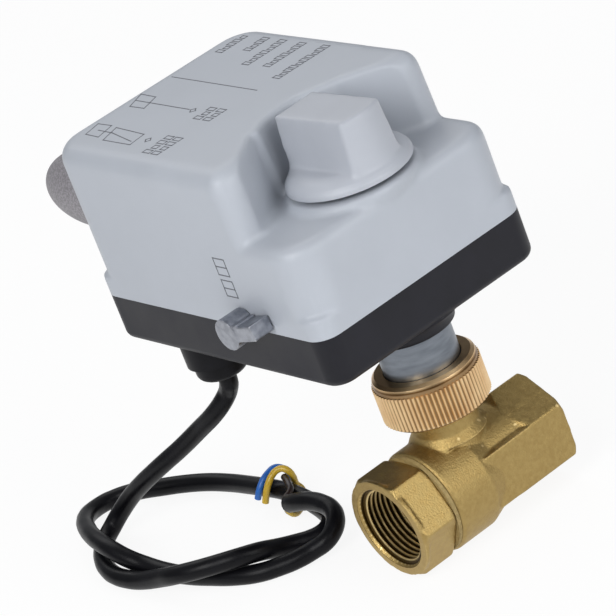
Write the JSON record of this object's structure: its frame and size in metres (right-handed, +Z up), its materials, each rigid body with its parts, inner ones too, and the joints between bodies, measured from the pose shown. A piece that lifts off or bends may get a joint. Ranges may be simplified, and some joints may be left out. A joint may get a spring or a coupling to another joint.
{
  "type": "zone valve",
  "caption": "Motorised zone valve: brass ball valve with female threaded ports, knurled union nut, gear actuator with manual knob, release lever and wired cable.",
  "frame": {"origin": "under the middle of the object's box, measured without the cord, on the surface that the valve stands on", "axes": "+Z up along the valve stem, +Y along the pipe from the adapter's port to the body's port, +X along the actuator case towards the manual knob; the stem axis is at x = 52.7 mm, y = 4.2 mm and the pipe axis 17.9 mm up"},
  "size_m": [0.1732, 0.1186, 0.1469],
  "materials": {
    "cast_brass": "sand-cast body, satin, olive-yellow",
    "turned_brass": "turned hexagon and threads, satin",
    "nut_brass": "machined, pinkish, knurled",
    "stem_brass": "turned, bright",
    "zinc": "die-cast and turned, satin",
    "lever_zinc": "die-cast, scratched",
    "steel": "zinc-plated",
    "plated_ball": "polished plating",
    "ptfe": "waxy white",
    "seal_fibre": "flat ring, grey",
    "rubber": "moulded, dull",
    "cover_plastic": "moulded, cool light grey, faint satin",
    "knob_plastic": "moulded, cool light grey, faint satin",
    "base_plastic": "moulded, near black, fine texture",
    "dome_plastic": "speckled dark grey, satin",
    "gland_nylon": "moulded nylon, black",
    "cord_jacket": "soft jacket, black, slight sheen",
    "wire_blue": "insulation, blue",
    "wire_yellow": "insulation, muted yellow",
    "wire_brown": "insulation, dark brown",
    "gear_acetal": "acetal, off-white",
    "gear_brass": "cut brass",
    "bronze": "sintered bronze",
    "motor_steel": "drawn can",
    "gearbox_plastic": "moulded, ivory",
    "black_plastic": "moulded, black",
    "red_plastic": "moulded, red",
    "board": "solder mask, green",
    "relay_plastic": "moulded, blue",
    "terminal_plastic": "moulded, green",
    "capacitor_sleeve": "shrunk sleeve, dark blue",
    "lead_insulation": "insulation of the leads inside"
  },
  "bodies": {
    "housing": {"valve_body": "cast_brass", "end_adapter": "turned_brass", "adapter_seal": "seal_fibre", "seat_near": "ptfe", "seat_far": "ptfe", "stem_washer": "ptfe", "nut_snap_ring": "steel", "neck_sleeve": "zinc", "neck_screws": "steel", "base_housing": "base_plastic", "cover": "cover_plastic", "cover_gasket": "rubber", "cover_screws": "steel", "end_dome": "dome_plastic", "dome_screws": "steel", "lower_plate": "steel", "upper_plate": "steel", "plate_pillars": "stem_brass", "shaft_bushes": "bronze", "second_arbor": "steel", "clutch_spring": "steel", "first_arbor": "steel", "motor": "motor_steel", "motor_gearbox": "gearbox_plastic", "capacitor": "capacitor_sleeve", "switch_closed": "black_plastic", "switch_open": "black_plastic", "circuit_board": "board", "relay": "relay_plastic", "terminal_block": "terminal_plastic", "fork_pins": "steel", "shaft_seal": "rubber", "gland_body": "gland_nylon", "gland_seal": "rubber", "gland_nut": "gland_nylon", "gland_locknut": "gland_nylon", "sheath_end": "cord_jacket", "inner_leads": "lead_insulation", "power_cord": "cord_jacket", "wire_blue": "wire_blue", "wire_yellow": "wire_yellow", "wire_brown": "wire_brown"},
    "output": {"output_shaft": "steel", "ball": "plated_ball", "valve_stem": "stem_brass", "stem_o_rings": "rubber", "output_gear": "gear_brass", "switch_cam": "gear_acetal", "manual_knob": "knob_plastic"},
    "union_nut": {"union_nut": "nut_brass"},
    "fork": {"release_fork": "steel"},
    "second_gear": {"second_gear": "gear_acetal"},
    "first_gear": {"first_gear": "gear_acetal"},
    "motor_pinion": {"motor_pinion": "steel"},
    "lever": {"release_lever": "lever_zinc", "lever_clip": "steel"},
    "closed_button": {"closed_button": "red_plastic"},
    "open_button": {"open_button": "red_plastic"}
  },
  "joints": [
    {"name": "valve_turn", "type": "hinge", "parent": "housing", "child": "output", "pos_m": [0.0527, 0.0042, 0.0179], "axis": [0, 0, 1], "range_deg": [0, 90]},
    {"name": "nut_turn", "type": "hinge", "parent": "housing", "child": "union_nut", "pos_m": [0.0527, 0.0042, 0.0509], "axis": [0, 0, 1], "continuous": true},
    {"name": "lever_turn", "type": "hinge", "parent": "housing", "child": "lever", "pos_m": [0.0357, -0.0379, 0.0949], "axis": [0, -1, 0], "range_deg": [0, 90]},
    {"name": "fork_lift", "type": "slide", "parent": "housing", "child": "fork", "axis": [0, 0, 1], "range_m": [0, 0.00459], "deforming": ["clutch_spring"]},
    {"name": "second_spin", "type": "hinge", "parent": "fork", "child": "second_gear", "pos_m": [0.0317, 0.0042, 0.0879], "axis": [0, 0, 1], "range_deg": [-226, 0]},
    {"name": "first_spin", "type": "hinge", "parent": "housing", "child": "first_gear", "pos_m": [0.0167, -0.00746, 0.0979], "axis": [0, 0, 1], "range_deg": [0, 631]},
    {"name": "pinion_spin", "type": "hinge", "parent": "housing", "child": "motor_pinion", "pos_m": [0.00318, -0.0222, 0.1019], "axis": [0, 0, 1], "range_deg": [-1891, 0]},
    {"name": "closed_press", "type": "slide", "parent": "housing", "child": "closed_button", "axis": [-1, 0, 0], "range_m": [0, 0.0008], "stiffness_N_per_m": 250, "springref_m": -0.0005},
    {"name": "open_press", "type": "slide", "parent": "housing", "child": "open_button", "axis": [0, -1, 0], "range_m": [0, 0.0008], "stiffness_N_per_m": 250, "springref_m": -0.0005}
  ],
  "couplings": [
    {"joint": "second_spin", "follows": "valve_turn", "ratio": -2.5},
    {"joint": "first_spin", "follows": "valve_turn", "ratio": 7},
    {"joint": "pinion_spin", "follows": "valve_turn", "ratio": -21},
    {"joint": "lever_turn", "follows": "fork_lift", "rad_per_m": 341.5}
  ]
}
